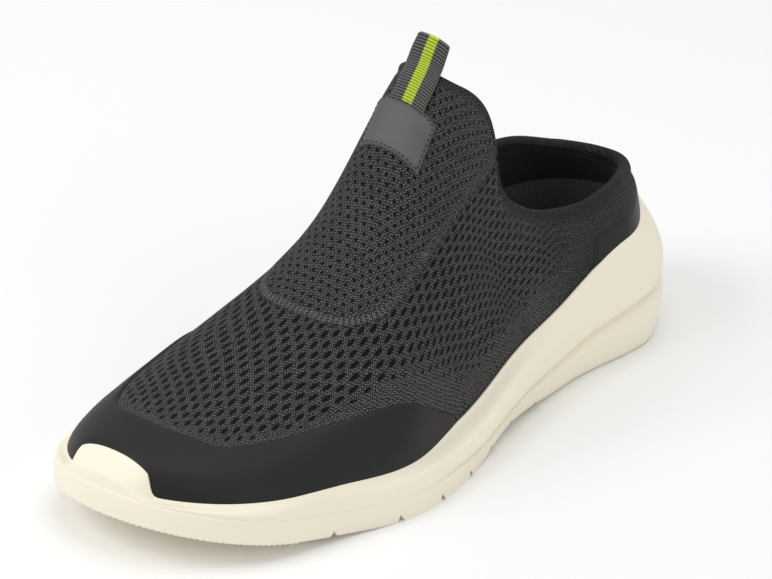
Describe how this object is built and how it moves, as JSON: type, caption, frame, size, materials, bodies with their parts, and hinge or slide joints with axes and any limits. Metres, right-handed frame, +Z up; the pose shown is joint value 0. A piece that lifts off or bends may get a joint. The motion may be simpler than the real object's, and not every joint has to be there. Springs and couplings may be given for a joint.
{
  "type": "slip-on sneaker",
  "caption": "Left slip-on mule sneaker: knitted upper with an open collar and low heel, pull loop on the tongue, smooth toe and heel films, and a thick moulded foam sole.",
  "frame": {"origin": "on the floor under the middle of the shoe", "axes": "+X from heel to toe, +Y to the outer side of the left foot, +Z up"},
  "size_m": [0.2976, 0.1195, 0.1349],
  "materials": {
    "cream_foam": "matte moulded foam",
    "black_textile": "brushed textile",
    "charcoal_knit": "engineered knit with open mesh",
    "black_film": "smooth matte film",
    "grey_patch": "smooth woven patch",
    "charcoal_webbing": "ribbed webbing with a lime stripe"
  },
  "bodies": {
    "root": {"sole": "cream_foam", "insole": "black_textile", "upper": "charcoal_knit", "toe_overlay": "black_film", "heel_overlay": "black_film", "label_patch": "grey_patch", "pull_loop": "charcoal_webbing"}
  },
  "joints": []
}
